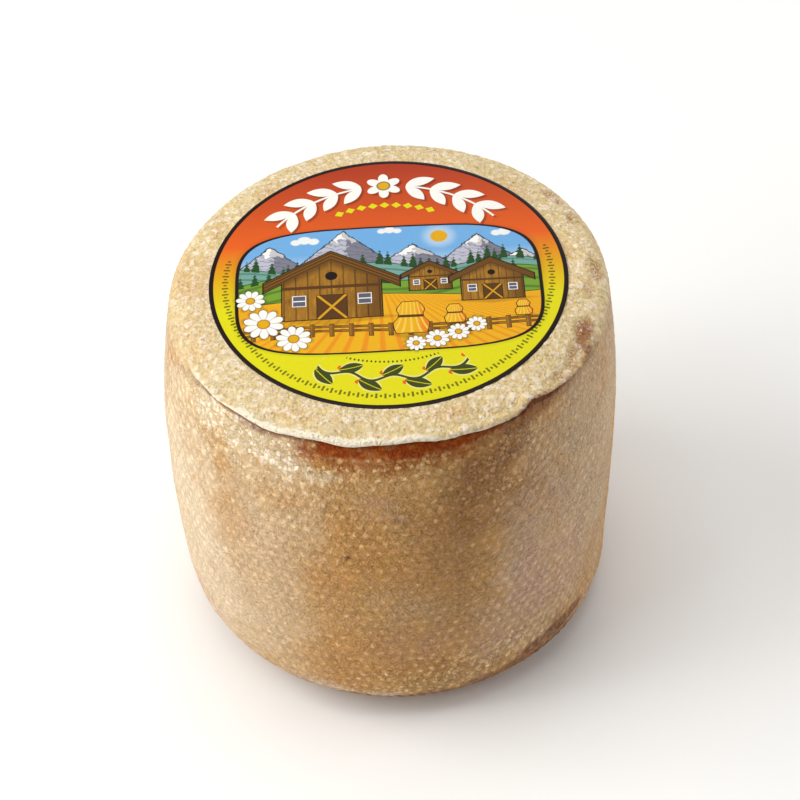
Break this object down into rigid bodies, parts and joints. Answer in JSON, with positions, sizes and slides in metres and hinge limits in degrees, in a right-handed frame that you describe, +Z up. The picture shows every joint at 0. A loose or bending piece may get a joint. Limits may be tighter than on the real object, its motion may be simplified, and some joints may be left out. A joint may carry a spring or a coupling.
{
  "type": "tete de moine cheese",
  "caption": "Whole drum-shaped washed-rind mountain cheese with a cloth-pressed rind, a thin flash round the front of its top rim, and a round printed paper label on top.",
  "frame": {"origin": "middle of the drum's box on the plane of its flat base", "axes": "+Z up through the drum towards the label, -Y towards the front, where the rim carries the flash"},
  "size_m": [0.1078, 0.1082, 0.0976],
  "materials": {
    "rind": "matte",
    "printed_paper": "satin"
  },
  "bodies": {
    "root": {"cheese_wheel": "rind", "paper_label": "printed_paper"}
  },
  "joints": []
}
